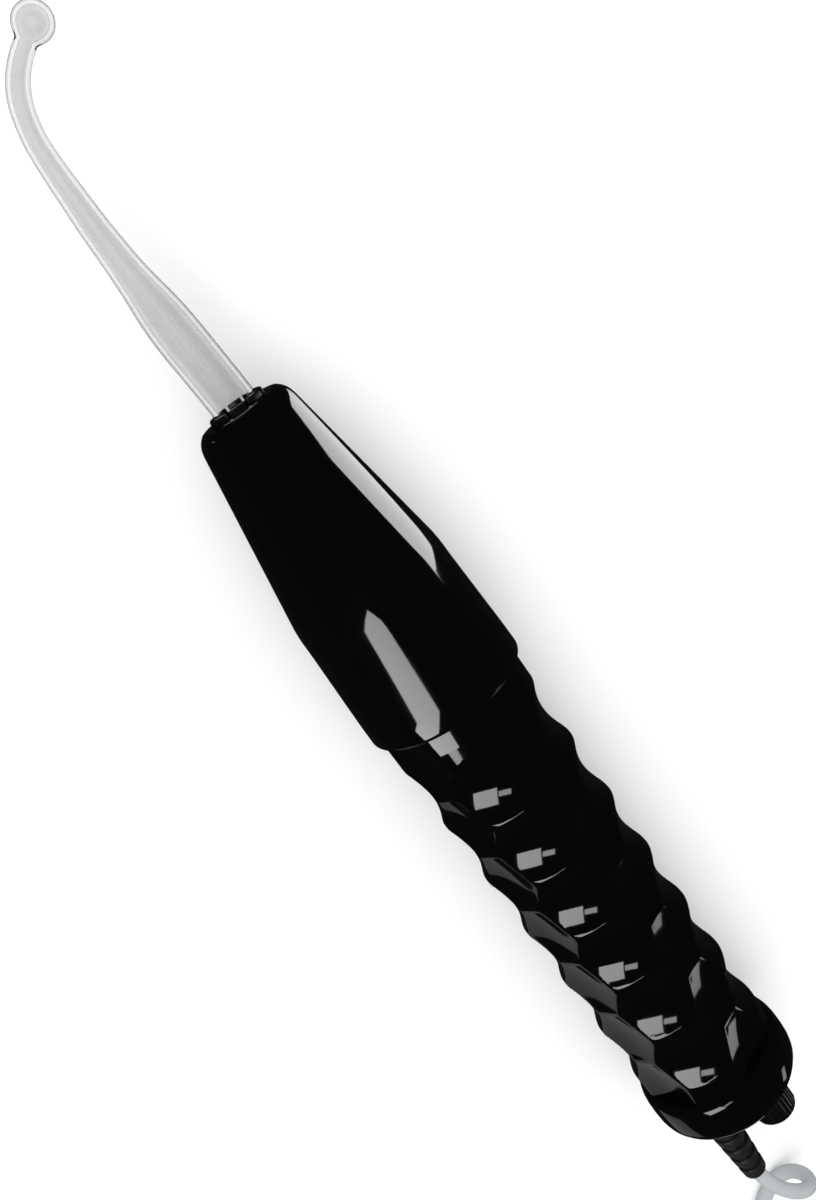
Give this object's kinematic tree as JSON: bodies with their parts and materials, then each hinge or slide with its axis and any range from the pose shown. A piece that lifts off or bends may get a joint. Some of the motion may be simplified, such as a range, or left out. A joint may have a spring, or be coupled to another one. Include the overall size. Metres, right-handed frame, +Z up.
{
  "type": "high frequency facial wand",
  "caption": "Handheld high-frequency skin wand: honeycomb-grip handle, split collet, removable bent glass electrode, rear intensity knob, cord boot and mains cord.",
  "frame": {"origin": "on the resting surface, under the middle of the wand measured from the glass tip to the end of the cord boot", "axes": "+X along the handle's axis towards the glass electrode, +Z up; the electrode's ball bends to -Y"},
  "size_m": [0.4537, 0.0737, 0.0428],
  "materials": {
    "shell": "high gloss",
    "knob_plastic": "gloss",
    "collet_rubber": "satin",
    "boot_rubber": "satin",
    "glass": "clear polished",
    "ferrule_metal": "brushed",
    "insulator": "matt",
    "contact_brass": "satin",
    "steel": "satin",
    "bobbin_plastic": "matt",
    "winding": "enamelled copper wire",
    "ferrite": "matt",
    "board": "solder mask",
    "film_case": "gloss",
    "can_sleeve": "gloss",
    "resistor_body": "matt",
    "heat_sink_metal": "satin",
    "chip_case": "matt",
    "pot_metal": "satin",
    "cord_sheath": "satin",
    "pointer_red": "gloss"
  },
  "bodies": {
    "handle": {"nose_cone": "shell", "grip_body": "shell", "rear_cap": "shell", "socket_sleeve": "insulator", "contact_cup": "contact_brass", "contact_spring": "steel", "coil_bobbin": "bobbin_plastic", "secondary_winding": "winding", "primary_winding": "winding", "ferrite_core": "ferrite", "chassis": "insulator", "circuit_board": "board", "film_capacitor": "film_case", "electrolytic_capacitor": "can_sleeve", "resistor_1": "resistor_body", "resistor_2": "resistor_body", "heat_sink": "heat_sink_metal", "power_transistor": "chip_case", "rectifier": "chip_case", "potentiometer": "pot_metal", "bushing_nut": "steel", "cap_screw_1": "steel", "cap_screw_2": "steel", "strain_relief": "boot_rubber", "cord_collar": "contact_brass", "cord_lead": "cord_sheath", "cord_coil": "cord_sheath", "cord_tail": "cord_sheath", "plug_body": "cord_sheath", "plug_blade_1": "contact_brass", "plug_blade_2": "contact_brass"},
    "collet": {"collet": "collet_rubber"},
    "electrode": {"glass_tube": "glass", "ferrule": "ferrule_metal"},
    "knob": {"knob": "knob_plastic", "knob_pointer": "pointer_red", "knob_shaft": "steel"}
  },
  "joints": [
    {"name": "collet_turn", "type": "hinge", "parent": "handle", "child": "collet", "pos_m": [0.08432, 0, 0.0214], "axis": [1, 0, 0], "continuous": true},
    {"name": "electrode_slide", "type": "slide", "parent": "collet", "child": "electrode", "axis": [1, 0, 0], "range_m": [0, 0.03]},
    {"name": "knob_turn", "type": "hinge", "parent": "handle", "child": "knob", "pos_m": [-0.15218, -0.0065, 0.0214], "axis": [1, 0, 0], "range_deg": [0, 300]}
  ]
}
